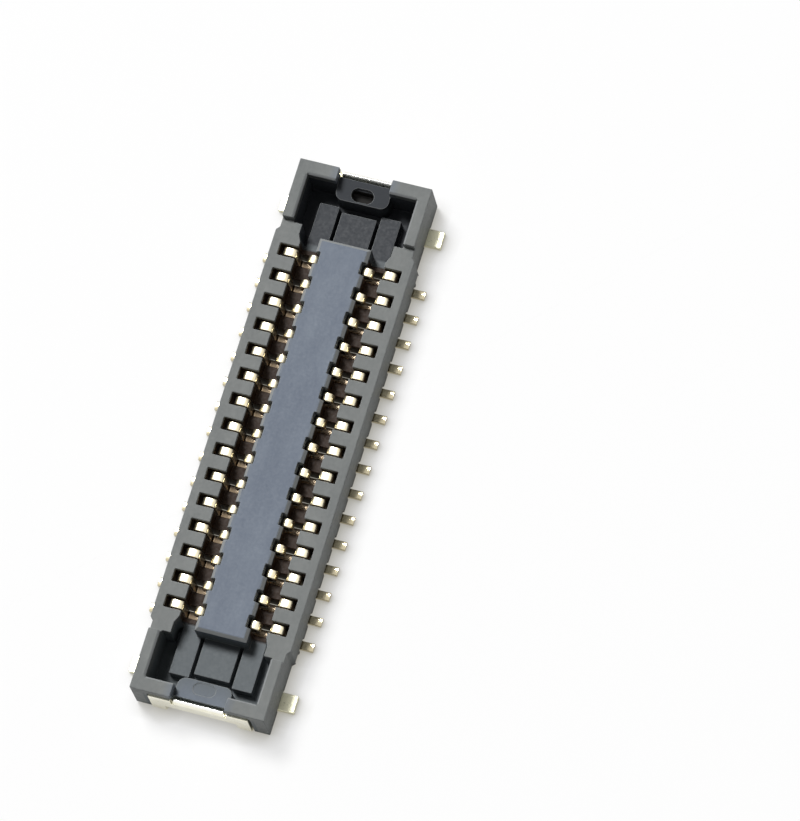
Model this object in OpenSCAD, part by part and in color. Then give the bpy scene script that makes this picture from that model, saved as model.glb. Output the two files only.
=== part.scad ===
// Board to board connector: two rows of formed spring contacts in a moulded housing.
// The origin is the middle of the board face: X across the rows, Y along them, Z up from the board.

/* [Contacts] */
// Contacts in each row
contacts_per_row = 15; // [4:1:20]
// Distance between neighbouring contacts
pitch = 0.40; // [0.38:0.01:0.60]
// Width of a contact strip
contact_w = 0.13; // [0.10:0.005:0.15]
// Thickness of a contact strip
contact_t = 0.065; // [0.05:0.005:0.075]
// Distance over the solder tails, tip to tip
tail_span = 2.50; // [2.40:0.02:2.80]
// Distance between the hook tops of the two rows
hook_span = 1.535; // [1.50:0.005:1.57]
// Outside width of a hook
hook_w = 0.22; // [0.20:0.005:0.23]
// Height of a hook's top above the board
hook_z = 0.585; // [0.54:0.005:0.60]
// Height of the bottom run above the board
run_z = 0.06; // [0.04:0.005:0.08]
// Distance between the ends of the two bottom runs, before they turn up
run_span = 0.47; // [0.45:0.01:0.50]
// Distance over the bumps of the two rows
bump_span = 1.02; // [0.98:0.01:1.04]
// Lean of a spring arm from upright, in degrees
arm_lean = 57; // [54:1:60]
// Turn of the strip over the bump, in degrees
bump_turn = 180; // [150:1:190]
// Middle radius of the bend from tail to riser
tail_bend = 0.09; // [0.06:0.005:0.10]
// Middle radius of the two bends of a hook
hook_bend = 0.045; // [0.04:0.0025:0.05]
// Middle radius of the bends at the ends of the bottom run
run_bend = 0.06; // [0.05:0.005:0.07]
// Middle radius of the bump
bump_bend = 0.065; // [0.06:0.0025:0.07]
// Height of the retention barbs above the board
barb_z = 0.24; // [0.20:0.01:0.28]
// Height of a barb, half of it straight and half of it tapered
barb_h = 0.12; // [0.08:0.01:0.16]

/* [Housing] */
// Distance from the last contact to the end face
end_len = 1.41; // [1.36:0.01:1.60]
// Width over the end blocks
end_w = 2.04; // [2.00:0.01:2.10]
// Width over the contact rails
rails_w = 2.14; // [2.12:0.01:2.24]
// Height of the end blocks above the board
end_z = 0.72; // [0.70:0.01:0.90]
// Height of the rails and the island above the board
rail_z = 0.62; // [0.61:0.01:0.70]
// Gap between the board and the underside
standoff = 0.03; // [0.02:0.005:0.04]
// Thickness of the end walls
end_wall = 0.22; // [0.20:0.01:0.24]
// Thickness of the side arms of the end pockets
arm_wall = 0.18; // [0.14:0.01:0.20]
// Distance from the last contact to the step of the side arms
arm_step = 0.48; // [0.44:0.01:0.52]
// Distance from the last contact to the end of the rails
rail_tail = 0.45; // [0.42:0.01:0.48]
// Distance from the last contact to the cut-back at each end of the rails
cut_tail = 0.17; // [0.15:0.01:0.20]
// Depth of the cut-back in the rails' inner faces
rail_cut = 0.12; // [0.08:0.01:0.14]
// Width of the island between the rows
island_w = 0.80; // [0.78:0.01:0.86]
// Distance from the last contact to the end of the island
island_tail = 0.32; // [0.26:0.01:0.36]
// Chamfer round the island's top
island_cut = 0.05; // [0.03:0.01:0.07]
// Height of the groove floor above the board
groove_z = 0.32; // [0.26:0.01:0.36]
// Height of the end pocket's floor above the board
moat_z = 0.12; // [0.10:0.005:0.14]
// Height of the pads on that floor above the board
pad_z = 0.30; // [0.26:0.01:0.31]
// Width over the three pads
pads_w = 1.26; // [1.10:0.02:1.40]
// Width of the middle pad
mid_pad_w = 0.54; // [0.46:0.02:0.60]
// Distance from the last contact to the end of the middle pad
pad_tail = 0.88; // [0.84:0.01:0.90]
// Distance from the last contact to the end of the side pads
side_pad_tail = 0.95; // [0.92:0.01:0.97]
// Width of the slits between the pads
slit_w = 0.055; // [0.04:0.005:0.08]
// Chamfer round the mouth of an end pocket
mouth_cut = 0.03; // [0.02:0.005:0.04]

/* [Contact cavities] */
// Clearance between a strip and each side of its slot
slot_gap = 0.03; // [0.02:0.005:0.04]
// Clearance behind a hook in its slot
hook_gap = 0.06; // [0.04:0.005:0.07]
// Depth of a hook behind the face of its rail
hook_inset = 0.07; // [0.04:0.005:0.09]
// Clearance round the spring arm in the island
arm_gap = 0.04; // [0.03:0.005:0.05]
// Thickness of the island's cover over the spring arms
cover_t = 0.18; // [0.14:0.01:0.20]
// Clearance over a tail between the edge teeth
tail_gap = 0.05; // [0.03:0.005:0.08]
// Width of the line groove along the inner ends of the edge teeth
line_w = 0.04; // [0.03:0.005:0.05]
// Depth of the line groove
line_d = 0.04; // [0.02:0.005:0.05]
// Length of the blind recess beyond the last tail
blind_l = 0.14; // [0.10:0.01:0.16]

/* [Hold-downs] */
// Sheet thickness
sheet_t = 0.08; // [0.06:0.005:0.09]
// Width of the end plate
plate_w = 1.52; // [1.40:0.02:1.60]
// Height of the end plate's lower edge above the board
plate_low = 0.26; // [0.24:0.01:0.32]
// How far the end plate stands out of the end face
plate_proud = 0.03; // [0.01:0.005:0.04]
// Height of the plate's wings above the foot of the tongue's bend
wing_rise = 0.09; // [0.06:0.01:0.10]
// Width of a leg
leg_w = 0.22; // [0.18:0.01:0.26]
// Middle radius of the bends of the legs and the tongue
sheet_bend = 0.07; // [0.06:0.005:0.08]
// Width of the tongue
tongue_w = 0.76; // [0.60:0.02:0.80]
// Height of the tongue's tip above the board
tongue_z = 0.57; // [0.55:0.01:0.59]
// Turn of the tongue over the notch, in degrees
tongue_turn = 60; // [50:1:70]
// Width of the relief slots beside the tongue
relief_w = 0.04; // [0.03:0.005:0.05]
// Distance over the side tabs of the feet
tabs_w = 2.52; // [2.44:0.02:2.80]
// Length of a side tab along the connector
tab_l = 0.27; // [0.22:0.01:0.30]
// Distance from the end face to the middle of a side tab
tab_y = 0.52; // [0.50:0.01:0.56]
// Distance from the end face to the tip of a foot's stub
stub_y = 0.84; // [0.80:0.01:0.88]
// Width of a foot's stub
stub_w = 0.18; // [0.14:0.01:0.20]
// Distance between the stubs of the two feet
stubs_in = 1.57; // [1.54:0.01:1.60]
// Length of a foot from its bend to the slant of its inner edge
foot_in_l = 0.16; // [0.10:0.01:0.18]
// Length of a foot from its bend to the slant of its outer edge
foot_out_l = 0.08; // [0.04:0.01:0.10]
// Distance from the middle of a side tab to the end of the inner slant
knee_l = 0.05; // [0.02:0.01:0.08]
// Clearance round the hold-down in the housing
seat_gap = 0.02; // [0.01:0.005:0.03]

/* [Guide ramps] */
// Width of the notch in an end wall
notch_w = 0.82; // [0.80:0.02:0.90]
// Length of the ramp inside the notch
ramp_l = 0.325; // [0.30:0.005:0.34]
// Height of the ramp's upper edge above the board
ramp_top = 0.55; // [0.52:0.01:0.58]
// Height of the ramp's lower edge above the board
ramp_low = 0.48; // [0.36:0.01:0.50]
// Corner radius of the ramp's inner end
ramp_r = 0.12; // [0.08:0.01:0.16]
// Length of the gate recess across the ramp
gate_w = 0.34; // [0.26:0.02:0.44]
// Width of the gate recess, with round ends
gate_d = 0.20; // [0.14:0.01:0.22]
// Distance from the ramp's inner edge to the middle of the gate recess
gate_y = 0.125; // [0.115:0.005:0.15]
// Depth of the gate recess in the rear ramp
gate_depth = 0.16; // [0.10:0.01:0.20]
// Depth of the shallow recess in the front ramp
front_gate_depth = 0.02; // [0.015:0.005:0.04]
// Length of the moulded recess under each end
mark_l = 0.20; // [0.10:0.02:0.26]
// Width of the moulded recess under each end
mark_w = 0.44; // [0.30:0.02:0.60]
// Depth of the moulded recess
mark_depth = 0.03; // [0.02:0.005:0.04]

/* [Hidden] */
$fn = 48;
// How far a cut runs past the face that it opens
past = 0.2;

// Contact: places along the strip's middle line, for the row on the +X side
last_y = (contacts_per_row - 1) * pitch / 2;
riser_x = (hook_span + hook_w - contact_t) / 2;
leg_x = (hook_span - hook_w + contact_t) / 2;
hook_mid_z = hook_z - contact_t / 2 - hook_bend;
run_mid_z = run_z + contact_t / 2;
run_in_x = run_span / 2;
arm_dir = 90 - arm_lean;
arm_side = [cos(arm_dir + 90), sin(arm_dir + 90)];
bump_mid_x = (bump_span - contact_t) / 2 - bump_bend;
arm_start_x = run_in_x + run_bend * arm_side[0];
arm_end_x = bump_mid_x - bump_bend * arm_side[0];
arm_len = (arm_end_x - arm_start_x) / cos(arm_dir);
bump_end_dir = arm_dir + bump_turn - 90;
bump_tip_r = bump_bend - sign(cos(bump_end_dir)) * contact_t / 2;
bump_tip_x = bump_mid_x + bump_tip_r * cos(bump_end_dir);

// A straight run is [length], a bend is [middle radius, turn to the left]
contact_path = [
    [tail_span / 2 - riser_x - tail_bend],
    [tail_bend, -90],
    [hook_mid_z - tail_bend - contact_t / 2],
    [hook_bend, 90],
    [riser_x - leg_x - 2 * hook_bend],
    [hook_bend, 90],
    [hook_mid_z - run_mid_z - run_bend],
    [run_bend, -90],
    [leg_x - run_bend - run_in_x],
    [run_bend, -90 - arm_lean],
    [arm_len],
    [bump_bend, bump_turn],
];

// Cavity round a contact
slot_w = contact_w + 2 * slot_gap;
slot_out_x = riser_x + contact_t / 2 + hook_gap;
rail_in_x = leg_x - contact_t / 2 - hook_inset;
window_in_x = run_in_x - run_bend - contact_t / 2 - arm_gap;
notch_in_x = bump_tip_x - arm_gap;
cover_low_z = rail_z - cover_t;
tail_roof_z = contact_t + tail_gap;

// Housing
half_len = last_y + end_len;
pocket_x = end_w / 2 - arm_wall;
wall_in_y = half_len - end_wall;
rail_end_y = last_y + rail_tail;
island_end_y = last_y + island_tail;
arm_end_y = last_y + arm_step;
pad_end_y = last_y + pad_tail;
side_pad_end_y = last_y + side_pad_tail;
cut_y = last_y + cut_tail;
rail_step = (rails_w - end_w) / 2;
blind_y = last_y + slot_w / 2 + rail_step;

// Hold-down
plate_out_y = half_len + plate_proud;
plate_y = plate_out_y - sheet_t / 2;
bend_mid_y = plate_y - sheet_bend;
bend_mid_z = sheet_t / 2 + sheet_bend;
tongue_foot_z = tongue_z - (sheet_bend + sheet_t / 2) * sin(tongue_turn);
tongue_end_y = bend_mid_y + (sheet_bend - sheet_t / 2) * cos(tongue_turn);
plate_top = tongue_foot_z + wing_rise;
leg_out_x = plate_w / 2;
leg_in_x = leg_out_x - leg_w;
ramp_start_y = tongue_end_y - seat_gap;
ramp_in_y = ramp_start_y - ramp_l;
ramp_angle = atan2(ramp_top - ramp_low, ramp_l);

// Y of a contact, counted from the front end
function contact_y(i) = (i - 1) * pitch - last_y;

// Sheet of thickness t and width w, formed along a path in the XY plane from the origin towards +X
module formed_strip(path, t, w, k = 0) {
    if (k < len(path)) {
        step = path[k];
        if (len(step) == 1) {
            translate([0, -t / 2, -w / 2]) cube([step[0], t, w]);
            translate([step[0], 0, 0]) formed_strip(path, t, w, k + 1);
        } else {
            side = sign(step[1]);
            translate([0, side * step[0], 0]) {
                rotate([0, 0, -90 * side])
                    rotate_extrude(angle = step[1])
                        translate([step[0] - t / 2, -w / 2]) square([t, w]);
                rotate([0, 0, step[1]])
                    translate([0, -side * step[0], 0]) formed_strip(path, t, w, k + 1);
            }
        }
    }
}

// Barbs on both edges of the riser, as wide as the slot that holds them
module barbs() {
    translate([riser_x - contact_t / 2, 0, barb_z])
        rotate([90, 0, 90])
            linear_extrude(contact_t)
                polygon([
                    [-slot_w / 2, 0],
                    [slot_w / 2, 0],
                    [slot_w / 2, barb_h / 2],
                    [contact_w / 2, barb_h],
                    [-contact_w / 2, barb_h],
                    [-slot_w / 2, barb_h / 2],
                ]);
}

// One contact of the +X row, at Y = 0
module contact() {
    color("#d8b25c") {
        translate([tail_span / 2, 0, contact_t / 2])
            rotate([90, 0, 0])
                rotate([0, 0, 180]) formed_strip(contact_path, contact_t, contact_w);
        barbs();
    }
}

module contact_left(i) {
    translate([0, contact_y(i), 0]) mirror([1, 0, 0]) contact();
}

module contact_right(i) {
    translate([0, contact_y(i), 0]) contact();
}

// Outline of one foot in plan, at the +X +Y corner, grown by g on all sides
module foot_outline(g = 0) {
    tab_low = half_len - tab_y - tab_l / 2;
    tab_high = half_len - tab_y + tab_l / 2;
    stub_in = stubs_in / 2;
    stub_out = stub_in + stub_w;
    polygon([
        [leg_in_x - g, bend_mid_y + g],
        [leg_in_x - g, bend_mid_y - foot_in_l],
        [stub_in - g, half_len - tab_y - knee_l],
        [stub_in - g, half_len - stub_y - g],
        [stub_out + g, half_len - stub_y - g],
        [stub_out + g, tab_low - g],
        [tabs_w / 2 + g, tab_low - g],
        [tabs_w / 2 + g, tab_high + g],
        [stub_out + g, tab_high + g],
        [leg_out_x + g, bend_mid_y - foot_out_l],
        [leg_out_x + g, bend_mid_y + g],
    ]);
}

// End plate seen from the end: the tongue's foot between two wings, with relief slots beside it
module plate_outline() {
    difference() {
        translate([-plate_w / 2, plate_low]) square([plate_w, plate_top - plate_low]);
        translate([-tongue_w / 2, tongue_foot_z]) square([tongue_w, wing_rise + past]);
        for (side = [-1, 1])
            translate([side * (tongue_w + relief_w) / 2 - relief_w / 2, tongue_foot_z - relief_w])
                square([relief_w, wing_rise + past]);
    }
}

// One hold-down, at the +Y end
module hold_down() {
    color("#e4dcb4") {
        // End plate
        translate([0, plate_out_y, 0])
            rotate([90, 0, 0]) linear_extrude(sheet_t) plate_outline();
        // Legs, each bent under the housing into its foot
        for (side = [0, 1]) mirror([side, 0, 0]) {
            translate([leg_out_x - leg_w / 2, plate_y, plate_low])
                rotate([0, 90, 0])
                    formed_strip([[plate_low - bend_mid_z], [sheet_bend, -90]], sheet_t, leg_w);
            linear_extrude(sheet_t) foot_outline();
        }
        // Tongue, bent in over the floor of the notch
        translate([0, plate_y, tongue_foot_z])
            rotate([0, -90, 0])
                formed_strip([[sheet_bend, -tongue_turn]], sheet_t, tongue_w);
    }
}

module hold_down_rear() {
    hold_down();
}

module hold_down_front() {
    mirror([0, 1, 0]) hold_down();
}

// Plan of the body: end blocks with the wider rails between them
module body_outline() {
    square([end_w, 2 * half_len], center = true);
    rails_end_y = blind_y + blind_l;
    polygon([
        for (corner = [[1, 1], [-1, 1], [-1, -1], [1, -1]])
            for (k = corner[0] * corner[1] > 0 ? [0, 1] : [1, 0])
                [corner[0] * (k == 0 ? rails_w : end_w) / 2, corner[1] * (rails_end_y + k * rail_step)]
    ]);
}

// Room of one end pocket in plan, at the +Y end, with the rails' inner faces cut back
module pocket_outline() {
    polygon([
        [-pocket_x, wall_in_y],
        [-pocket_x, rail_end_y],
        [-rail_in_x - rail_cut, rail_end_y],
        [-rail_in_x - rail_cut, cut_y + rail_cut],
        [-rail_in_x, cut_y],
        [rail_in_x, cut_y],
        [rail_in_x + rail_cut, cut_y + rail_cut],
        [rail_in_x + rail_cut, rail_end_y],
        [pocket_x, rail_end_y],
        [pocket_x, wall_in_y],
    ]);
}

// Three pads on the pocket floor, parted by two slits
module pads() {
    start_y = island_end_y - past;
    side_x = mid_pad_w / 2 + slit_w;
    translate([0, 0, standoff])
        linear_extrude(pad_z - standoff) {
            translate([-mid_pad_w / 2, start_y]) square([mid_pad_w, pad_end_y - start_y]);
            for (side = [0, 1]) mirror([side, 0])
                translate([side_x, start_y]) square([pads_w / 2 - side_x, side_pad_end_y - start_y]);
        }
}

// Guide ramp behind the tongue, with round inner corners and a gate recess of that depth
module ramp(depth) {
    difference() {
        intersection() {
            rotate([90, 0, 90])
                linear_extrude(notch_w, center = true)
                    polygon([
                        [ramp_in_y, standoff],
                        [ramp_in_y, ramp_low],
                        [ramp_start_y, ramp_top],
                        [ramp_start_y, standoff],
                    ]);
            linear_extrude(end_z)
                union() {
                    translate([-notch_w / 2, ramp_in_y + ramp_r]) square([notch_w, ramp_l]);
                    translate([-notch_w / 2 + ramp_r, ramp_in_y]) square([notch_w - 2 * ramp_r, ramp_l]);
                    for (side = [-1, 1])
                        translate([side * (notch_w / 2 - ramp_r), ramp_in_y + ramp_r]) circle(ramp_r);
                }
        }
        translate([0, ramp_in_y + gate_y, ramp_low + gate_y * tan(ramp_angle)])
            rotate([ramp_angle, 0, 0])
                translate([0, 0, -depth])
                    linear_extrude(depth + past) {
                        square([gate_w - gate_d, gate_d], center = true);
                        for (side = [-1, 1])
                            translate([side * (gate_w - gate_d) / 2, 0]) circle(d = gate_d);
                    }
    }
}

// Square bar turned on its edge, along Y, that cuts a chamfer of size c
module chamfer_bar(l, c) {
    rotate([90, 0, 0])
        linear_extrude(l, center = true)
            rotate(45) square(c * sqrt(2), center = true);
}

// Island between the rows, chamfered round its top
module island() {
    difference() {
        translate([-island_w / 2, -island_end_y, standoff])
            cube([island_w, 2 * island_end_y, rail_z - standoff]);
        for (side = [-1, 1])
            translate([side * island_w / 2, 0, rail_z])
                chamfer_bar(2 * (island_end_y + past), island_cut);
        for (side = [-1, 1])
            translate([0, side * island_end_y, rail_z])
                rotate([0, 0, 90]) chamfer_bar(island_w + 2 * past, island_cut);
    }
}

// What one end loses to its pocket, above the floor
module pocket() {
    translate([0, 0, moat_z]) linear_extrude(end_z) pocket_outline();
    for (side = [-1, 1])
        translate([side * pocket_x, (arm_end_y + wall_in_y) / 2, end_z])
            chamfer_bar(wall_in_y - arm_end_y, mouth_cut);
    translate([0, wall_in_y, end_z])
        rotate([0, 0, 90]) chamfer_bar(2 * pocket_x, mouth_cut);
    // Notch through the end wall, down to the ramp's lower edge
    translate([-notch_w / 2, wall_in_y - past, ramp_low])
        cube([notch_w, end_wall + 2 * past, end_z]);
}

// What one end loses to its hold-down
module hold_down_seat() {
    seat_w = plate_w + 2 * seat_gap;
    // Recess of the end plate
    translate([-seat_w / 2, plate_out_y - sheet_t, -past])
        cube([seat_w, sheet_t + past, plate_top + seat_gap + past]);
    // Room for the tongue behind the ramp
    translate([-notch_w / 2, ramp_start_y, tongue_foot_z])
        cube([notch_w, half_len, end_z]);
    // Recesses of the feet and room for the bends of the legs
    for (side = [0, 1]) mirror([side, 0, 0]) {
        translate([0, 0, -past]) linear_extrude(sheet_t + past) foot_outline(seat_gap);
        translate([leg_in_x - seat_gap, bend_mid_y, -past])
            cube([leg_w + 2 * seat_gap, half_len, bend_mid_z + past]);
    }
}

// Room round one contact of the +X row: window, arm room under the cover, hook slot and tail slot
module cavity() {
    rotate([90, 0, 0])
        linear_extrude(slot_w, center = true)
            polygon([
                [window_in_x, -past],
                [window_in_x, cover_low_z],
                [notch_in_x, cover_low_z],
                [notch_in_x, end_z],
                [slot_out_x, end_z],
                [slot_out_x, tail_roof_z],
                [rails_w / 2 + past, tail_roof_z],
                [rails_w / 2 + past, -past],
            ]);
}

// Line groove inside the edge teeth, and the blind recesses at its ends, on the +X side
module edge_grooves() {
    translate([slot_out_x - line_w, -last_y, -past])
        cube([line_w, 2 * last_y, standoff + line_d + past]);
    for (side = [0, 1]) mirror([0, side, 0])
        translate([slot_out_x, blind_y, -past])
            cube([rails_w, blind_l, tail_roof_z + past]);
}

module housing() {
    color("#3c434c")
        difference() {
            union() {
                difference() {
                    union() {
                        translate([0, 0, standoff]) linear_extrude(rail_z - standoff) body_outline();
                        for (side = [0, 1]) mirror([0, side, 0])
                            translate([-end_w / 2, arm_end_y, standoff])
                                cube([end_w, half_len - arm_end_y, end_z - standoff]);
                    }
                    for (side = [0, 1]) mirror([0, side, 0]) pocket();
                    translate([-rail_in_x, -rail_end_y, groove_z])
                        cube([2 * rail_in_x, 2 * rail_end_y, end_z]);
                }
                island();
                for (side = [0, 1]) mirror([0, side, 0]) {
                    pads();
                    ramp(side == 0 ? gate_depth : front_gate_depth);
                }
            }
            for (side = [0, 1]) mirror([0, side, 0]) {
                hold_down_seat();
                translate([-mark_w / 2, half_len - tab_y - mark_l / 2, standoff - past])
                    cube([mark_w, mark_l, mark_depth + past]);
            }
            for (side = [0, 1]) mirror([side, 0, 0]) {
                for (i = [1 : contacts_per_row]) translate([0, contact_y(i), 0]) cavity();
                edge_grooves();
            }
        }
}

housing();
hold_down_front();
hold_down_rear();
for (i = [1 : contacts_per_row]) {
    contact_left(i);
    contact_right(i);
}
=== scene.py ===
# %% [markdown]
# # A board to board connector, dressed for the studio
# The connector is a tiny part: about eight millimetres long, with a moulded housing, two rows of formed
# contacts and a folded metal hold-down at each end. The solids of the frame fix its sizes. This script keeps
# them, apart from a small set-back inside the rails. It gives the housing soft moulded edges, forms the metal
# pieces with smooth bends, and lights the whole like a small product on a white table.

# %% Load the frame
import math

import bmesh
import bpy
from mathutils import Matrix, Vector


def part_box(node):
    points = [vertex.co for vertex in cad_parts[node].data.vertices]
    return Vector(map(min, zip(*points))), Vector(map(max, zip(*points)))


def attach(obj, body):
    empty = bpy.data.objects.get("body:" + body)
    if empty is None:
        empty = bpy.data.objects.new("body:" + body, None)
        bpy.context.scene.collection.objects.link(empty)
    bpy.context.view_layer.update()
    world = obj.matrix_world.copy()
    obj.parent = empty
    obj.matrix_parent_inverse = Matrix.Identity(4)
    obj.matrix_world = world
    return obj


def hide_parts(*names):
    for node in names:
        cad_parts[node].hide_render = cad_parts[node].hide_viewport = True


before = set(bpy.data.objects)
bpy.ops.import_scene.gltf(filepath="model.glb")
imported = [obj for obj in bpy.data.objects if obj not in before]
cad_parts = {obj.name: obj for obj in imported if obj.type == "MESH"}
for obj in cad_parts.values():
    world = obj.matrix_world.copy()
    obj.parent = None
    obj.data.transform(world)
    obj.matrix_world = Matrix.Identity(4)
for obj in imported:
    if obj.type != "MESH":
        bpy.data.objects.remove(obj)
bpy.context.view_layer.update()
MM = 0.001
COUNT = sum(name.startswith("contact_right_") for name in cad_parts)

# %% [markdown]
# ## Camera
# The picture is taken from a long way off for such a small part, so parallel edges stay nearly parallel. A
# camera can be placed by eye. This one is given by where it stands on a sphere round the origin, by its
# roll about its own axis, and by how far the origin lies from the middle of the picture, because each of
# these can be set by itself. The lens follows from the size of a millimetre in the picture.

# %% Camera
AZIMUTH = math.radians(35.07)
ELEVATION = math.radians(69.03)
ROLL = math.radians(-19.44)
DISTANCE = 97.2 * MM
ASIDE = 1.619 * MM
ABOVE = 0.602 * MM
PICTURE_H = 821
PIXELS_PER_MM = 68.53
SENSOR = 36.0
NEAR_SHARE = 0.1
FAR_SHARE = 100

toward = Vector((
    math.sin(AZIMUTH) * math.cos(ELEVATION),
    -math.cos(AZIMUTH) * math.cos(ELEVATION),
    math.sin(ELEVATION),
))
level = Vector((math.cos(AZIMUTH), math.sin(AZIMUTH), 0))
upright = toward.cross(level)
right = level * math.cos(ROLL) + upright * math.sin(ROLL)
up = upright * math.cos(ROLL) - level * math.sin(ROLL)

camera = bpy.data.objects.new("camera", bpy.data.cameras.new("camera"))
bpy.context.scene.collection.objects.link(camera)
bpy.context.scene.camera = camera
camera.data.sensor_width = SENSOR
camera.data.lens = PIXELS_PER_MM * DISTANCE / MM * SENSOR / PICTURE_H
camera.data.clip_start = DISTANCE * NEAR_SHARE
camera.data.clip_end = DISTANCE * FAR_SHARE
turn = Matrix((right, up, toward)).transposed().to_4x4()
camera.matrix_world = Matrix.Translation(toward * DISTANCE + right * ASIDE + up * ABOVE) @ turn
print("camera: lens", round(camera.data.lens, 1), "mm at", round(DISTANCE / MM, 1), "mm")

# %% [markdown]
# ## Helpers for materials
# Every finish here is a Principled shader whose colour, roughness and bump vary a little over the surface.
# The patterns could follow an unwrapped map. They read Object coordinates, which are metres in the frame,
# so a pattern's scale is one over the size of its grain. These helpers add a noise of a given grain, map a
# value onto another range, and lay one tone over another where a mask says so.

# %% Material helpers
def new_material(name):
    """A material with its Principled shader, and the Object coordinates that its patterns read."""
    material = bpy.data.materials.new(name)
    material.use_nodes = True
    nodes = material.node_tree.nodes
    shader = nodes["Principled BSDF"]
    place = nodes.new("ShaderNodeTexCoord").outputs["Object"]
    return material, shader, place


def upturned(material):
    """How far a face looks up: 1 on level tops, 0 on upright walls."""
    tree = material.node_tree
    facing = tree.nodes.new("ShaderNodeTexCoord")
    split = tree.nodes.new("ShaderNodeSeparateXYZ")
    tree.links.new(facing.outputs["Normal"], split.inputs["Vector"])
    return split.outputs["Z"]


def grain(material, place, size, detail=3.0, fineness=0.5, stretch=(1, 1, 1)):
    """Noise whose grains are about size metres. Fineness is the share of its smaller grains."""
    tree = material.node_tree
    mapping = tree.nodes.new("ShaderNodeMapping")
    mapping.inputs["Scale"].default_value = [1 / axis for axis in stretch]
    noise = tree.nodes.new("ShaderNodeTexNoise")
    noise.inputs["Scale"].default_value = 1 / size
    noise.inputs["Detail"].default_value = detail
    noise.inputs["Roughness"].default_value = fineness
    tree.links.new(place, mapping.inputs["Vector"])
    tree.links.new(mapping.outputs["Vector"], noise.inputs["Vector"])
    return noise.outputs["Fac"]


def spread(material, value, low, high, start=0.3, stop=0.7):
    """Map a value from start to stop onto low to high. The default limits suit a noise."""
    node = material.node_tree.nodes.new("ShaderNodeMapRange")
    node.inputs["From Min"].default_value = start
    node.inputs["From Max"].default_value = stop
    node.inputs["To Min"].default_value = low
    node.inputs["To Max"].default_value = high
    material.node_tree.links.new(value, node.inputs["Value"])
    return node.outputs["Result"]


def past(material, distance, edge):
    """Value that rises from 0 to 1 across an edge, given by its two limits in millimetres."""
    start, stop = edge
    return spread(material, distance, 0, 1, start * MM, stop * MM)


def short_of(material, distance, edge):
    """Value that falls from 1 to 0 across an edge, given by its two limits in millimetres."""
    start, stop = edge
    return spread(material, distance, 1, 0, start * MM, stop * MM)


def product(material, first, *others):
    """Product of several values."""
    for other in others:
        node = material.node_tree.nodes.new("ShaderNodeMath")
        node.operation = "MULTIPLY"
        material.node_tree.links.new(first, node.inputs[0])
        material.node_tree.links.new(other, node.inputs[1])
        first = node.outputs["Value"]
    return first


def axes_of(material, place):
    """Distance from the middle plane along X and along Y, then Y and Z, all in metres."""
    tree = material.node_tree
    split = tree.nodes.new("ShaderNodeSeparateXYZ")
    tree.links.new(place, split.inputs["Vector"])
    distances = []
    for axis in ("X", "Y"):
        node = tree.nodes.new("ShaderNodeMath")
        node.operation = "ABSOLUTE"
        tree.links.new(split.outputs[axis], node.inputs[0])
        distances.append(node.outputs["Value"])
    return *distances, split.outputs["Y"], split.outputs["Z"]


def two_tones(material, value, dark, light):
    """Colour that goes from dark to light with the value. Either is a colour or an output that gives one."""
    node = material.node_tree.nodes.new("ShaderNodeMix")
    node.data_type = "RGBA"
    for socket, colour in (("A", dark), ("B", light)):
        if isinstance(colour, tuple):
            node.inputs[socket].default_value = (*colour, 1)
        else:
            material.node_tree.links.new(colour, node.inputs[socket])
    material.node_tree.links.new(value, node.inputs["Factor"])
    return node.outputs["Result"]


def bump(material, shader, height, depth, strength):
    """Bump of the shader's normal, with its depth in metres."""
    node = material.node_tree.nodes.new("ShaderNodeBump")
    node.inputs["Strength"].default_value = strength
    node.inputs["Distance"].default_value = depth
    material.node_tree.links.new(height, node.inputs["Height"])
    material.node_tree.links.new(node.outputs["Normal"], shader.inputs["Normal"])


# %% [markdown]
# ## Moulded plastic
# The housing is a dark slate plastic with the fine matt of a spark-eroded mould. Broad clouds in its colour
# come from the flow of the melt, which leaves the island a little bluer than the rails. Sunk faces get
# painted shade, darker than the tops, most of all in the contact grooves, the rear pocket and its gate hole,
# and the grooves' brown is a painted reflection of the gold. The upper rims get a painted highlight, lighter.
#
# Such tones could be painted on an unwrapped copy. Laid on by rule they need no unwrapping and stay with the
# solid: the rims are the slanted faces and rounded edges, found from the normal, and the other places are
# found from the Object coordinates. An edge of a place is a pair of limits in millimetres, and the tone
# changes softly between them. A very fine grain breaks up the highlights.

# %% Clouded colour of the plastic
CLOUD_SIZE = 0.45 * MM
CLOUD_STRETCH = (1, 2.5, 1)
RAIL_TONES = (0.156, 0.166, 0.164), (0.204, 0.213, 0.207)
ISLAND_TONES = (0.132, 0.157, 0.202), (0.178, 0.208, 0.254)
ISLAND_SIDE = (0.30, 0.55)

plastic, shader, place = new_material("housing_plastic")
aside, along, forward, height = axes_of(plastic, place)
clouds = grain(plastic, place, CLOUD_SIZE, detail=4.0, fineness=0.8, stretch=CLOUD_STRETCH)
flow = spread(plastic, clouds, 0, 1)
rail_tone = two_tones(plastic, flow, *RAIL_TONES)
island_tone = two_tones(plastic, flow, *ISLAND_TONES)
tone = two_tones(plastic, past(plastic, aside, ISLAND_SIDE), island_tone, rail_tone)
print("finish:", plastic.name)
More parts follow.
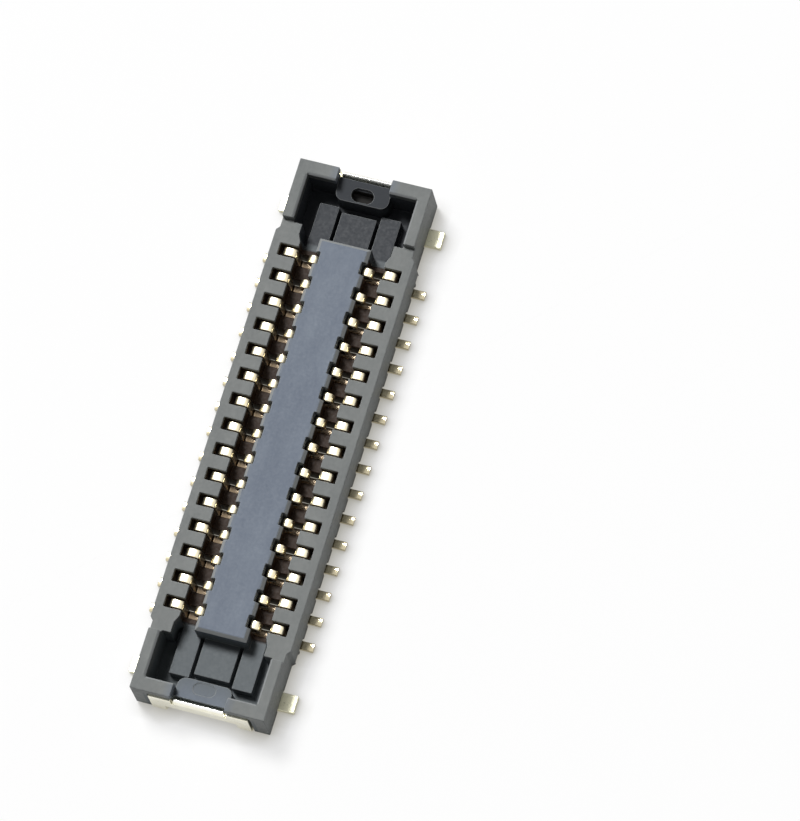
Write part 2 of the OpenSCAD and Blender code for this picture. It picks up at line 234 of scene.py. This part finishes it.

# %% Painted shade and painted highlights on the plastic
POCKET_SIDE = (0.84, 0.85)
# Painted shade: sunk faces inside the pockets are darkened
SUNK_SHADE_TONE = (0.112, 0.126, 0.134)
SUNK_TOP = (0.45, 0.60)
# Painted shade: the floor of the rear pocket is much darker
REAR_SHADE_TONE = (0.038, 0.042, 0.048)
REAR_START = (3.06, 3.10)
REAR_TOP = (0.57, 0.60)
# Painted highlight: slanted faces and rounded edges of the upper rims are lighter
RIM_HIGHLIGHT_TONE = (0.270, 0.282, 0.284)
RIM_LOW = (0.20, 0.26)
# Painted shade: the gate hole in the rear ramp is nearly black
GATE_SHADE_TONE = (0.010, 0.009, 0.008)
GATE_SIDE = (0.18, 0.20)
GATE_START = (3.80, 3.82)
GATE_TOP = (0.46, 0.48)
# Painted shade and a painted reflection of the gold: the contact grooves are dark brown
GROOVE_SHADE_TONE = (0.025, 0.013, 0.007)
GROOVE_IN = (0.385, 0.395)
GROOVE_OUT = (0.95, 0.97)
GROOVE_END = (2.96, 3.00)
GROOVE_TOP = (0.55, 0.57)

# How far a rim looks up, as the Z of its normal: more than the first pair and less than the second
STEEPER_THAN_RIM = (0.40, 0.60)
FLATTER_THAN_RIM = (0.80, 0.95)

inside = short_of(plastic, aside, POCKET_SIDE)
facing_up = upturned(plastic)
# Painted shade on the sunk faces
sunk_shade = [inside, short_of(plastic, height, SUNK_TOP)]
# Painted shade in the rear pocket
rear_pocket_shade = [
    inside,
    past(plastic, forward, REAR_START),
    short_of(plastic, height, REAR_TOP),
]
# Painted highlight on the rims
rim = [
    spread(plastic, facing_up, 0, 1, *STEEPER_THAN_RIM),
    spread(plastic, facing_up, 1, 0, *FLATTER_THAN_RIM),
    past(plastic, height, RIM_LOW),
]
# Painted shade in the gate hole
gate_shade = [
    short_of(plastic, aside, GATE_SIDE),
    past(plastic, forward, GATE_START),
    short_of(plastic, height, GATE_TOP),
]
# Painted shade and painted gold reflection in the contact grooves
groove_shade = [
    past(plastic, aside, GROOVE_IN),
    short_of(plastic, aside, GROOVE_OUT),
    short_of(plastic, along, GROOVE_END),
    short_of(plastic, height, GROOVE_TOP),
]
# Painted shade and painted highlights, laid over the clouds one after another
laid_over = [
    (sunk_shade, SUNK_SHADE_TONE),
    (rear_pocket_shade, REAR_SHADE_TONE),
    (rim, RIM_HIGHLIGHT_TONE),
    (gate_shade, GATE_SHADE_TONE),
    (groove_shade, GROOVE_SHADE_TONE),
]
for limits, colour in laid_over:
    tone = two_tones(plastic, product(plastic, *limits), tone, colour)
plastic.node_tree.links.new(tone, shader.inputs["Base Color"])
print("plastic:", len(laid_over), "tones laid over the clouds")

# %% Grain of the plastic
SPECKLE_SIZE = 0.035 * MM
SMOOTHEST = 0.46
ROUGHEST = 0.64
PLASTIC_SPECULAR = 0.16
MATT_SIZE = 0.022 * MM
MATT_DEPTH = 0.002 * MM
MATT_STRENGTH = 0.35

speckle = grain(plastic, place, SPECKLE_SIZE, detail=2.0)
plastic.node_tree.links.new(spread(plastic, speckle, SMOOTHEST, ROUGHEST), shader.inputs["Roughness"])
shader.inputs["Specular IOR Level"].default_value = PLASTIC_SPECULAR
bump(plastic, shader, grain(plastic, place, MATT_SIZE, detail=2.0), MATT_DEPTH, MATT_STRENGTH)
print("plastic: roughness", SMOOTHEST, "to", ROUGHEST)

# %% [markdown]
# ## Plated metals
# The contacts are bronze strip, gold plated on the hooks, the bumps and the solder side, and left bare
# between them. The hold-downs have a paler plating. What stands out at the sides of the housing is darker,
# as painted shade, with the tails smoother and the feet rougher than the rest. The top of the tongue is
# painted almost white, a painted highlight.
#
# A metal could be one colour with Metallic at 1. Real plating is clouded, and rolled strip has a grain that
# shows as uneven roughness, so both vary here. Metal takes its colour from what it mirrors, so the base
# colour is light.

# %% Plated metal
METAL_CLOUD = 0.12 * MM
POLISH_GRAIN = 0.03 * MM
ROLLED_GRAIN = 0.05 * MM
ROLLED_STRENGTH = 0.2
HOUSING_SIDE = (0.98, 1.02)


def plated(name, tones, polish, depth):
    """Plated metal with clouded colour, uneven roughness and a faint rolled grain of that depth in metres."""
    material, metal, where = new_material(name)
    metal.inputs["Metallic"].default_value = 1.0
    shade = spread(material, grain(material, where, METAL_CLOUD), 0, 1)
    colour = two_tones(material, shade, *tones)
    rough = spread(material, grain(material, where, POLISH_GRAIN, detail=2.0), *polish)
    bump(material, metal, grain(material, where, ROLLED_GRAIN), depth, ROLLED_STRENGTH)
    print("finish:", name)
    return material, metal, axes_of(material, where), colour, rough


def shade_and_finish_outside(material, metal, aside, colour, rough, tone, factor):
    """Paint shade on what stands out at the housing's sides, set its own roughness, link both to the shader.
    """
    outside = past(material, aside, HOUSING_SIDE)
    colour = two_tones(material, outside, colour, tone)
    rough = product(material, rough, spread(material, outside, 1, factor, 0, 1))
    material.node_tree.links.new(colour, metal.inputs["Base Color"])
    material.node_tree.links.new(rough, metal.inputs["Roughness"])


# %% Gold of the contacts
GOLD_TONES = (0.92, 0.80, 0.54), (0.96, 0.89, 0.68)
GOLD_POLISH = (0.26, 0.36)
GOLD_DEPTH = 0.001 * MM
BRONZE = (0.42, 0.33, 0.23)
BARE_LOW = (0.08, 0.11)
BARE_HIGH = (0.40, 0.46)
# Painted shade: the tails outside the housing are darker
TAIL_SHADE_TONE = (0.62, 0.55, 0.38)
TAIL_ROUGHNESS = 0.5

gold, metal, (aside, _, _, height), colour, rough = plated(
    "contact_gold", GOLD_TONES, GOLD_POLISH, GOLD_DEPTH,
)
bare = product(gold, past(gold, height, BARE_LOW), short_of(gold, height, BARE_HIGH))
colour = two_tones(gold, bare, colour, BRONZE)
# Painted shade on the tails, with their own roughness
shade_and_finish_outside(gold, metal, aside, colour, rough, TAIL_SHADE_TONE, TAIL_ROUGHNESS)

# %% Plating of the hold-downs
PALE_TONES = (0.86, 0.83, 0.67), (0.93, 0.91, 0.78)
PALE_POLISH = (0.18, 0.28)
PALE_DEPTH = 0.0004 * MM
# Painted highlight: the top of the tongue is painted almost white
TONGUE_HIGHLIGHT_TONE = (0.97, 0.965, 0.93)
TONGUE_HIGHLIGHT_SIDE = (0.38, 0.40)
TONGUE_HIGHLIGHT_LOW = (0.53, 0.55)
# Painted shade: the feet and tabs outside the housing are darker
FOOT_SHADE_TONE = (0.74, 0.72, 0.54)
FOOT_ROUGHNESS = 1.5

pale, metal, (aside, _, _, height), colour, rough = plated(
    "hold_down_plating", PALE_TONES, PALE_POLISH, PALE_DEPTH,
)
# Painted highlight on the tongue's top
tongue_highlight = product(pale, short_of(pale, aside, TONGUE_HIGHLIGHT_SIDE), past(pale, height, TONGUE_HIGHLIGHT_LOW))
colour = two_tones(pale, tongue_highlight, colour, TONGUE_HIGHLIGHT_TONE)
# Painted shade on the feet and tabs, with their own roughness
shade_and_finish_outside(pale, metal, aside, colour, rough, FOOT_SHADE_TONE, FOOT_ROUGHNESS)

# %% [markdown]
# ## Finishing a mesh
# Sheet metal and mouldings have no knife edges. A shader can fake rounded ones, but an exported mesh loses
# them, so a Bevel rounds the mesh, and its hardened normals keep the flat faces flat in the shading. The
# result is baked into a plain mesh, so that nothing stays live on the piece.

# %% Finish helpers
def link_object(name, mesh):
    """An object of that mesh at the origin, in the scene."""
    piece = bpy.data.objects.new(name, mesh)
    bpy.context.scene.collection.objects.link(piece)
    return piece


def bake_modifiers(piece):
    """Turn what the modifiers make into the piece's own mesh."""
    view = bpy.context.evaluated_depsgraph_get()
    old = piece.data
    formed = piece.evaluated_get(view)
    made = bpy.data.meshes.new_from_object(formed, preserve_all_data_layers=True, depsgraph=view)
    piece.modifiers.clear()
    piece.data = made
    made.name = piece.name
    if old.users == 0:
        bpy.data.meshes.remove(old)
    return piece


def soft_edges(piece, width, segments=2, angle=35):
    """Round the edges that turn more than angle degrees, and keep flat faces flat in the shading."""
    for polygon in piece.data.polygons:
        polygon.use_smooth = True
    edge = piece.modifiers.new("edges", "BEVEL")
    edge.width = width
    edge.segments = segments
    edge.limit_method = "ANGLE"
    edge.angle_limit = math.radians(angle)
    edge.use_clamp_overlap = False
    edge.miter_outer = "MITER_ARC"
    edge.harden_normals = True
    return bake_modifiers(piece)


def wear(piece, material, slot, *nodes):
    """Give a piece its finish and its body, and hide the nodes that it stands for."""
    piece.data.materials.clear()
    piece.data.materials.append(material)
    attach(piece, "root")
    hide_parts(*nodes)
    print("piece:", piece.name, len(piece.data.polygons), "faces, for", len(nodes), "nodes")
    return piece


# %% [markdown]
# ## Housing
# The housing is one moulding, and its solid already has every rail, slot and pocket. It could be modelled
# again from boxes, but a copy of the solid's mesh is exact. The copy is merged into clean faces. The rails'
# inner faces are set back a little, flush with the hooks as on the real part, and the edges get the small
# radius that a mould leaves.

# %% Housing
MOULD_EDGE = 0.012 * MM
MERGE = 0.0005 * MM
FLAT_TURN = math.radians(0.5)
RAIL_FACE = 0.5875 * MM
RAIL_SET_BACK = 0.07 * MM


def clean_copy(node, name):
    """A merged copy of a node's mesh, with its flat faces made whole and its loaded normals left out."""
    shape = bmesh.new()
    shape.from_mesh(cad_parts[node].data)
    bmesh.ops.remove_doubles(shape, verts=shape.verts, dist=MERGE)
    bmesh.ops.dissolve_limit(shape, angle_limit=FLAT_TURN, verts=shape.verts, edges=shape.edges)
    mesh = bpy.data.meshes.new(name)
    shape.to_mesh(mesh)
    shape.free()
    loaded = mesh.attributes.get("custom_normal")
    if loaded:
        mesh.attributes.remove(loaded)
    return link_object(name, mesh)


def set_back_rails(piece):
    """Move the rails' inner faces out, until the hooks stand flush with them."""
    moved = [vertex for vertex in piece.data.vertices if abs(abs(vertex.co.x) - RAIL_FACE) < MERGE]
    for vertex in moved:
        vertex.co.x += math.copysign(RAIL_SET_BACK, vertex.co.x)
    print("rails:", len(moved), "corners set back by", round(RAIL_SET_BACK / MM, 3), "mm")
    return piece


bare_housing = set_back_rails(clean_copy("housing", "moulded_housing"))
housing = soft_edges(bare_housing, MOULD_EDGE)
wear(housing, plastic, "housing", "housing")

# %% [markdown]
# ## Contacts
# A contact is one strip of metal, formed along a path: tail, riser, hook, bottom run, spring arm and bump.
# It could be pulled from a box face by face, but the real one is bent from strip, and so is this one. The
# path is a bare line through its corners, and each corner carries the radius of its bend. A tree of
# Geometry Nodes rounds the corners, sweeps the strip's section along the line, and repeats it in a row.

# %% Path of a contact, in millimetres
STRIP_W = 0.13
STRIP_T = 0.065
STRIP_EDGE = 0.012
HOOK_X = 0.7675
HOOK_W = 0.22
HOOK_BEND = 0.045
RUN_LOW = 0.06
RUN_IN = 0.235
BUMP_OUT = 0.51
ARM_TURN = math.radians(33)
BUMP_TURN = math.radians(180)
TAIL_BEND = 0.09
RUN_BEND = 0.06
BUMP_BEND = 0.065
BARB_LOW = 0.24
BARB_H = 0.12
BARB_STEP = 0.004
LIP = 0.006

first_low, first_high = [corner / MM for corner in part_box("contact_right_1")]
next_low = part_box("contact_right_2")[0] / MM
pitch = next_low.y - first_low.y
barb_share = (first_high.y - first_low.y) / STRIP_W
half_t = STRIP_T / 2
riser_x = HOOK_X + HOOK_W / 2 - half_t
leg_x = HOOK_X - HOOK_W / 2 + half_t
hook_z = first_high.z - half_t
run_z = RUN_LOW + half_t


def heading(angle):
    """Unit step in the plane of the path."""
    return Vector((math.cos(angle), math.sin(angle)))


run_corner = Vector((RUN_IN - RUN_BEND * math.tan((math.pi - ARM_TURN) / 2), run_z))
arm_side = heading(ARM_TURN + math.pi / 2)
arm_start = Vector((RUN_IN, run_z + RUN_BEND)) + RUN_BEND * arm_side
bump_mid_x = BUMP_OUT - half_t - BUMP_BEND
arm_end_x = bump_mid_x - BUMP_BEND * arm_side.x
arm_end = arm_start + heading(ARM_TURN) * (arm_end_x - arm_start.x) / math.cos(ARM_TURN)
bump_reach = BUMP_BEND * math.tan(BUMP_TURN / 4)
bump_out = arm_end + heading(ARM_TURN) * bump_reach
bump_in = bump_out + heading(ARM_TURN + BUMP_TURN / 2) * 2 * bump_reach
tip = bump_in + heading(ARM_TURN + BUMP_TURN) * (bump_reach + LIP)

# Each corner: x and z of the strip's middle line, the bend's middle radius, and the width as a share
corners = [
    (first_high.x, half_t, 0, 1),
    (riser_x, half_t, TAIL_BEND, 1),
    (riser_x, BARB_LOW, 0, 1),
    (riser_x, BARB_LOW + BARB_STEP, 0, barb_share),
    (riser_x, BARB_LOW + BARB_H / 2, 0, barb_share),
    (riser_x, BARB_LOW + BARB_H, 0, 1),
    (riser_x, hook_z, HOOK_BEND, 1),
    (leg_x, hook_z, HOOK_BEND, 1),
    (leg_x, run_z, RUN_BEND, 1),
    (*run_corner, RUN_BEND, 1),
    (*bump_out, BUMP_BEND, 1),
    (*bump_in, BUMP_BEND, 1),
    (*tip, 0, 1),
]


def contact_line(name):
    """The path as a bare line of edges, with the bend and the width share stored on its points."""
    mesh = bpy.data.meshes.new(name)
    points = [(x * MM, 0, z * MM) for x, z, _, _ in corners]
    mesh.from_pydata(points, [(i, i + 1) for i in range(len(points) - 1)], [])
    stored = {
        "bend": [radius * MM for _, _, radius, _ in corners],
        "share": [width for _, _, _, width in corners],
    }
    for key, values in stored.items():
        attribute = mesh.attributes.new(key, "FLOAT", "POINT")
        attribute.data.foreach_set("value", values)
    return link_object(name, mesh)


bump_top = arm_end.y + BUMP_BEND * arm_side.y + BUMP_BEND + half_t
print("contact: pitch", round(pitch, 3), "mm, bump top at", round(bump_top, 3), "mm")

# %% [markdown]
# ### The tree of a row
# A row could be made of copies placed one by one. A tree makes it from a single line, with the strip's sizes,
# the pitch and the count as inputs, so that one number reaches every contact. The barbs on the riser come
# from the width share on the line's points. Realize Instances is near the end, because the export keeps only
# real faces.

# %% Inputs of the row's tree
row_tree = bpy.data.node_groups.new("contact_row", "GeometryNodeTree")
row_tree.interface.new_socket("Line", in_out="INPUT", socket_type="NodeSocketGeometry")
for label in ("Strip width", "Strip thickness", "Edge radius", "Pitch", "First place", "Turn"):
    row_tree.interface.new_socket(label, in_out="INPUT", socket_type="NodeSocketFloat")
row_tree.interface.new_socket("Count", in_out="INPUT", socket_type="NodeSocketInt")
row_tree.interface.new_socket("Finish", in_out="INPUT", socket_type="NodeSocketMaterial")
row_tree.interface.new_socket("Row", in_out="OUTPUT", socket_type="NodeSocketGeometry")


def add(kind, **properties):
    """A node of the row's tree with its properties set."""
    made = row_tree.nodes.new(kind)
    for key, value in properties.items():
        setattr(made, key, value)
    return made


def join(source, socket, target, name):
    """Link an output to an input of another node, both by name."""
    row_tree.links.new(source.outputs[socket], target.inputs[name])


inputs = add("NodeGroupInput")
print("tree:", row_tree.name, "from", [socket.name for socket in inputs.outputs if socket.name])

# %% Strip along the line
BEND_POINTS = 10
EDGE_POINTS = 3

curve = add("GeometryNodeMeshToCurve")
join(inputs, "Line", curve, "Mesh")
bend = add("GeometryNodeInputNamedAttribute", data_type="FLOAT")
bend.inputs["Name"].default_value = "bend"
formed = add("GeometryNodeFilletCurve", mode="POLY")
formed.inputs["Count"].default_value = BEND_POINTS
join(curve, "Curve", formed, "Curve")
join(bend, "Attribute", formed, "Radius")
section = add("GeometryNodeCurvePrimitiveQuadrilateral")
join(inputs, "Strip width", section, "Width")
join(inputs, "Strip thickness", section, "Height")
rounded = add("GeometryNodeFilletCurve", mode="POLY")
rounded.inputs["Count"].default_value = EDGE_POINTS
join(section, "Curve", rounded, "Curve")
join(inputs, "Edge radius", rounded, "Radius")
strip = add("GeometryNodeCurveToMesh")
strip.inputs["Fill Caps"].default_value = True
join(formed, "Curve", strip, "Curve")
join(rounded, "Curve", strip, "Profile Curve")
share = add("GeometryNodeInputNamedAttribute", data_type="FLOAT")
share.inputs["Name"].default_value = "share"
across = add("ShaderNodeCombineXYZ")
across.inputs["X"].default_value = 1
across.inputs["Z"].default_value = 1
join(share, "Attribute", across, "Y")
spot = add("GeometryNodeInputPosition")
widened = add("ShaderNodeVectorMath", operation="MULTIPLY")
row_tree.links.new(spot.outputs["Position"], widened.inputs[0])
row_tree.links.new(across.outputs["Vector"], widened.inputs[1])
barbed = add("GeometryNodeSetPosition")
join(strip, "Mesh", barbed, "Geometry")
join(widened, "Vector", barbed, "Position")
print("strip:", BEND_POINTS, "points in a bend,", EDGE_POINTS, "in an edge")

# %% Copies along the row
start = add("ShaderNodeCombineXYZ")
join(inputs, "First place", start, "Y")
step = add("ShaderNodeCombineXYZ")
join(inputs, "Pitch", step, "Y")
places = add("GeometryNodeMeshLine", mode="OFFSET")
join(inputs, "Count", places, "Count")
join(start, "Vector", places, "Start Location")
join(step, "Vector", places, "Offset")
facing = add("ShaderNodeCombineXYZ")
join(inputs, "Turn", facing, "Z")
copies = add("GeometryNodeInstanceOnPoints")
join(places, "Mesh", copies, "Points")
join(barbed, "Geometry", copies, "Instance")
join(facing, "Vector", copies, "Rotation")
real = add("GeometryNodeRealizeInstances")
join(copies, "Instances", real, "Geometry")
finish = add("GeometryNodeSetMaterial")
join(real, "Geometry", finish, "Geometry")
join(inputs, "Finish", finish, "Material")
outputs = add("NodeGroupOutput")
join(finish, "Geometry", outputs, "Row")
print("tree:", row_tree.name, len(row_tree.nodes), "nodes")

# %% [markdown]
# ### Both rows
# The left row could be a mirror image of the right one. A mirror turns faces inside out, and a contact is
# symmetrical across its width, so each left contact is turned by half a turn instead. Weighted normals keep
# the strip's flat faces flat in the shading.

# %% Two rows of contacts
FLAT_WEIGHT = 100
SOCKETS = {item.name: item.identifier for item in row_tree.interface.items_tree if item.in_out == "INPUT"}


def contact_row(name, side, turn):
    """One row of contacts, turned to face its side."""
    row = contact_line(name)
    former = row.modifiers.new("form", "NODES")
    former.node_group = row_tree
    values = {
        "Strip width": STRIP_W * MM,
        "Strip thickness": STRIP_T * MM,
        "Edge radius": STRIP_EDGE * MM,
        "Pitch": pitch * MM,
        "First place": (first_low.y + first_high.y) / 2 * MM,
        "Turn": turn,
        "Count": COUNT,
        "Finish": gold,
    }
    for label, value in values.items():
        former[SOCKETS[label]] = value
    bake_modifiers(row)
    for polygon in row.data.polygons:
        polygon.use_smooth = True
    weighted = row.modifiers.new("normals", "WEIGHTED_NORMAL")
    weighted.mode = "FACE_AREA"
    weighted.weight = FLAT_WEIGHT
    weighted.keep_sharp = True
    bake_modifiers(row)
    nodes = ["contact_%s_%d" % (side, i + 1) for i in range(COUNT)]
    return wear(row, gold, "contacts", *nodes)


contact_row("contacts_right", "right", 0.0)
contact_row("contacts_left", "left", math.pi)

# %% [markdown]
# ## Hold-downs
# A hold-down is one folded sheet: an end plate between two wings, a tongue bent in over the housing, and
# two legs that turn under it into Y-shaped feet. It could be joined from thin boxes, but its bends would
# then have no true radius. It is drawn as its middle surface, flat faces joined by finely stepped bends,
# and Solidify gives the sheet its thickness.

# %% Sheet of a hold-down, in millimetres
SHEET_T = 0.08
SHEET_EDGE = 0.010
SHEET_BEND = 0.07
BEND_STEPS = 8
PLATE_HALF = 0.76
PLATE_LOW = 0.26
WING_RISE = 0.09
TONGUE_HALF = 0.38
TONGUE_TURN = 60
LEG_TURN = -90
RELIEF = 0.04
LEG_W = 0.22
FOOT_IN = 0.16
FOOT_OUT = 0.08
KNEE = 0.05
TAB_L = 0.27
STUB_IN = 0.785
STUB_W = 0.18
TAB_FROM_END = 0.55
STUB_FROM_END = 0.87

sheet_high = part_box("hold_down_rear")[1] / MM
plate_y = sheet_high.y - SHEET_T / 2
bend_y = plate_y - SHEET_BEND
tongue_foot_z = sheet_high.z - (SHEET_BEND + SHEET_T / 2) * math.sin(math.radians(TONGUE_TURN))
wing_top = tongue_foot_z + WING_RISE
foot_z = SHEET_T / 2
leg_in = PLATE_HALF - LEG_W
print("sheet:", SHEET_T, "mm thick, with wings up to", round(wing_top, 3), "mm")

# %% Middle surface of a hold-down
def bend_row(shape, edge, points):
    """Carry an edge of two vertices along points in the plane of Y and Z, and return the last edge."""
    for y, z in points:
        carried = [shape.verts.new((vertex.co.x, y, z)) for vertex in edge]
        shape.faces.new((edge[0], edge[1], carried[1], carried[0]))
        edge = carried
    return edge


def bend_points(middle_z, first, last):
    """Steps of a bend about the line at bend_y, from the first to the last angle in degrees."""
    angles = [math.radians(first + (last - first) * i / BEND_STEPS) for i in range(1, BEND_STEPS + 1)]
    return [(bend_y + SHEET_BEND * math.cos(a), middle_z + SHEET_BEND * math.sin(a)) for a in angles]


def middle_surface():
    """Middle surface of the hold-down at the rear end."""
    shape = bmesh.new()
    relief_x = TONGUE_HALF + RELIEF
    relief_z = tongue_foot_z - RELIEF
    half = [
        (TONGUE_HALF, tongue_foot_z),
        (TONGUE_HALF, relief_z),
        (relief_x, relief_z),
        (relief_x, wing_top),
        (PLATE_HALF, wing_top),
        (PLATE_HALF, PLATE_LOW),
        (leg_in, PLATE_LOW),
    ]
    sides = {side: [shape.verts.new((side * x, plate_y, z)) for x, z in half] for side in (1, -1)}
    shape.faces.new(sides[1] + sides[-1][::-1])
    bend_row(shape, (sides[-1][0], sides[1][0]), bend_points(tongue_foot_z, 0, TONGUE_TURN))
    tab_y = sheet_high.y - TAB_FROM_END
    stub_y = sheet_high.y - STUB_FROM_END
    outline = [
        (leg_in, bend_y - FOOT_IN),
        (STUB_IN, tab_y - KNEE),
        (STUB_IN, stub_y),
        (STUB_IN + STUB_W, stub_y),
        (STUB_IN + STUB_W, tab_y - TAB_L / 2),
        (sheet_high.x, tab_y - TAB_L / 2),
        (sheet_high.x, tab_y + TAB_L / 2),
        (STUB_IN + STUB_W, tab_y + TAB_L / 2),
        (PLATE_HALF, bend_y - FOOT_OUT),
    ]
    bend_foot = foot_z + SHEET_BEND
    leg = [(plate_y, bend_foot), *bend_points(bend_foot, 0, LEG_TURN)]
    for side, ring in sides.items():
        outer, inner = ring[-2:]
        ankle = bend_row(shape, (inner, outer), leg)
        foot = [shape.verts.new((side * x, y, foot_z)) for x, y in outline]
        shape.faces.new([ankle[0], *foot, ankle[1]])
    bmesh.ops.recalc_face_normals(shape, faces=shape.faces)
    return shape


# %% Two hold-downs
FOLD_LIMIT = 50


def hold_down(name, end, node):
    """The folded sheet at one end: end is 1 at the rear and -1 at the front."""
    shape = middle_surface()
    bmesh.ops.scale(shape, vec=(MM, MM * end, MM), verts=shape.verts)
    mesh = bpy.data.meshes.new(name)
    shape.to_mesh(mesh)
    shape.free()
    piece = link_object(name, mesh)
    thick = piece.modifiers.new("sheet", "SOLIDIFY")
    thick.thickness = SHEET_T * MM
    thick.offset = 0
    thick.use_even_offset = True
    bake_modifiers(piece)
    shape = bmesh.new()
    shape.from_mesh(piece.data)
    bmesh.ops.recalc_face_normals(shape, faces=shape.faces)
    shape.to_mesh(piece.data)
    shape.free()
    soft_edges(piece, SHEET_EDGE * MM, angle=FOLD_LIMIT)
    return wear(piece, pale, "hold_downs", node)


hold_down("folded_hold_down_rear", 1, "hold_down_rear")
hold_down("folded_hold_down_front", -1, "hold_down_front")

# %% [markdown]
# ## Table
# The part lies on a white table, a plain diffuse sheet that takes the part's shadow. It could be lit until it
# turns white, but so much light would bleach the part too. Light Path makes it glow instead, for the camera
# and in mirrors only, a little less so where the part stands close over it. From below it can be looked
# through, because the solder side is worth a look too.

# %% Table sheet
TABLE_HALF = 0.5
TABLE_GAP = 0.0005 * MM
SQUARE = ((-1, -1), (1, -1), (1, 1), (-1, 1))

table_mesh = bpy.data.meshes.new("table")
sheet_corners = [(x * TABLE_HALF, y * TABLE_HALF, -TABLE_GAP) for x, y in SQUARE]
table_mesh.from_pydata(sheet_corners, [], [(0, 1, 2, 3)])
table = link_object("table", table_mesh)
print("table:", 2 * TABLE_HALF, "m wide")

# %% Table finish
PAPER_TONE = (0.94, 0.94, 0.94)
PAPER_ROUGHNESS = 0.9
TABLE_GLOW = 0.75
KEY_FROM = Vector((-0.39, 0.37, 0.84))
SHADE_REACH = 0.25 * MM
# Painted contact shadow: the glow turns darker and warmer near the part, the warmth a painted reflection of
# the gold
SHADE_TONE = (0.30, 0.28, 0.21)
OPEN_TONE = (1.0, 1.0, 1.0)


def seen_directly(tree):
    """Value that is 1 for what the camera, a mirror or clear glass sees."""
    path = tree.nodes.new("ShaderNodeLightPath")
    total = path.outputs["Is Camera Ray"]
    for other in ("Is Glossy Ray", "Is Transmission Ray"):
        most = tree.nodes.new("ShaderNodeMath")
        most.operation = "MAXIMUM"
        tree.links.new(total, most.inputs[0])
        tree.links.new(path.outputs[other], most.inputs[1])
        total = most.outputs["Value"]
    return total


white = bpy.data.materials.new("white_table")
white.use_nodes = True
white_nodes = white.node_tree.nodes
white_links = white.node_tree.links
paper = white_nodes["Principled BSDF"]
paper.inputs["Base Color"].default_value = (*PAPER_TONE, 1)
paper.inputs["Roughness"].default_value = PAPER_ROUGHNESS
glow = white_nodes.new("ShaderNodeEmission")
blend = white_nodes.new("ShaderNodeMixShader")
amount = white_nodes.new("ShaderNodeMath")
amount.operation = "MULTIPLY"
amount.inputs[1].default_value = TABLE_GLOW
white_links.new(seen_directly(white.node_tree), amount.inputs[0])
shade = white_nodes.new("ShaderNodeAmbientOcclusion")
shade.inputs["Distance"].default_value = SHADE_REACH
lean = white_nodes.new("ShaderNodeCombineXYZ")
for axis, share in zip("XYZ", KEY_FROM.normalized()):
    lean.inputs[axis].default_value = share
white_links.new(lean.outputs["Vector"], shade.inputs["Normal"])
shaded = two_tones(white, shade.outputs["AO"], SHADE_TONE, OPEN_TONE)
white_links.new(shaded, glow.inputs["Color"])
white_links.new(amount.outputs["Value"], blend.inputs["Fac"])
white_links.new(paper.outputs["BSDF"], blend.inputs[1])
white_links.new(glow.outputs["Emission"], blend.inputs[2])
under = white_nodes.new("ShaderNodeNewGeometry")
clear = white_nodes.new("ShaderNodeBsdfTransparent")
one_sided = white_nodes.new("ShaderNodeMixShader")
white_links.new(under.outputs["Backfacing"], one_sided.inputs["Fac"])
white_links.new(blend.outputs["Shader"], one_sided.inputs[1])
white_links.new(clear.outputs["BSDF"], one_sided.inputs[2])
white_links.new(one_sided.outputs["Shader"], white_nodes["Material Output"].inputs["Surface"])
table_mesh.materials.append(white)
print("finish:", white.name)

# %% [markdown]
# ## Light
# A soft box behind the part on its left gives the bright glints on every upturned piece of metal. More lamps
# could fill in the rest, but each would leave glints of its own, so the world does it: it is white to the
# camera, and in mirrors it is white overhead and in front, and dim behind.

# %% Soft box
KEY_AWAY = 0.6
KEY_SIDE = 0.19
KEY_POWER = 4.2

key_data = bpy.data.lights.new("soft_box", "AREA")
key_data.shape = "SQUARE"
key_data.size = KEY_SIDE
key_data.energy = KEY_POWER
key = bpy.data.objects.new("soft_box", key_data)
bpy.context.scene.collection.objects.link(key)
key.location = KEY_FROM.normalized() * KEY_AWAY
key.rotation_euler = KEY_FROM.to_track_quat("Z", "Y").to_euler()
print("light: soft box", KEY_POWER, "W at", KEY_AWAY, "m")

# %% World
FILL = 0.05
BRIGHT_SIDE = Vector((0, -0.8, 1))
DIM_FROM = -0.45
DIM_TO = 0.30
DIM_LEVEL = 0.06
BRIGHT_LEVEL = 1.0

world = bpy.data.worlds.new("studio")
world.use_nodes = True
bpy.context.scene.world = world
sky = world.node_tree.nodes["Background"]
sky.inputs["Color"].default_value = (1, 1, 1, 1)
sky_nodes = world.node_tree.nodes
sky_links = world.node_tree.links
direction = sky_nodes.new("ShaderNodeTexCoord")
toward_bright = sky_nodes.new("ShaderNodeVectorMath")
toward_bright.operation = "DOT_PRODUCT"
toward_bright.inputs[1].default_value = BRIGHT_SIDE
sky_links.new(direction.outputs["Generated"], toward_bright.inputs[0])
room = sky_nodes.new("ShaderNodeMapRange")
room.inputs["From Min"].default_value = DIM_FROM
room.inputs["From Max"].default_value = DIM_TO
room.inputs["To Min"].default_value = DIM_LEVEL
room.inputs["To Max"].default_value = BRIGHT_LEVEL
sky_links.new(toward_bright.outputs["Value"], room.inputs["Value"])
rays = sky_nodes.new("ShaderNodeLightPath")
in_mirrors = sky_nodes.new("ShaderNodeMix")
in_mirrors.inputs["A"].default_value = FILL
sky_links.new(seen_directly(world.node_tree), in_mirrors.inputs["Factor"])
sky_links.new(room.outputs["Result"], in_mirrors.inputs["B"])
seen = sky_nodes.new("ShaderNodeMath")
seen.operation = "MAXIMUM"
sky_links.new(rays.outputs["Is Camera Ray"], seen.inputs[0])
sky_links.new(in_mirrors.outputs["Result"], seen.inputs[1])
sky_links.new(seen.outputs["Value"], sky.inputs["Strength"])
bpy.context.scene.view_settings.view_transform = "Standard"
print("light: world fills in with", FILL)
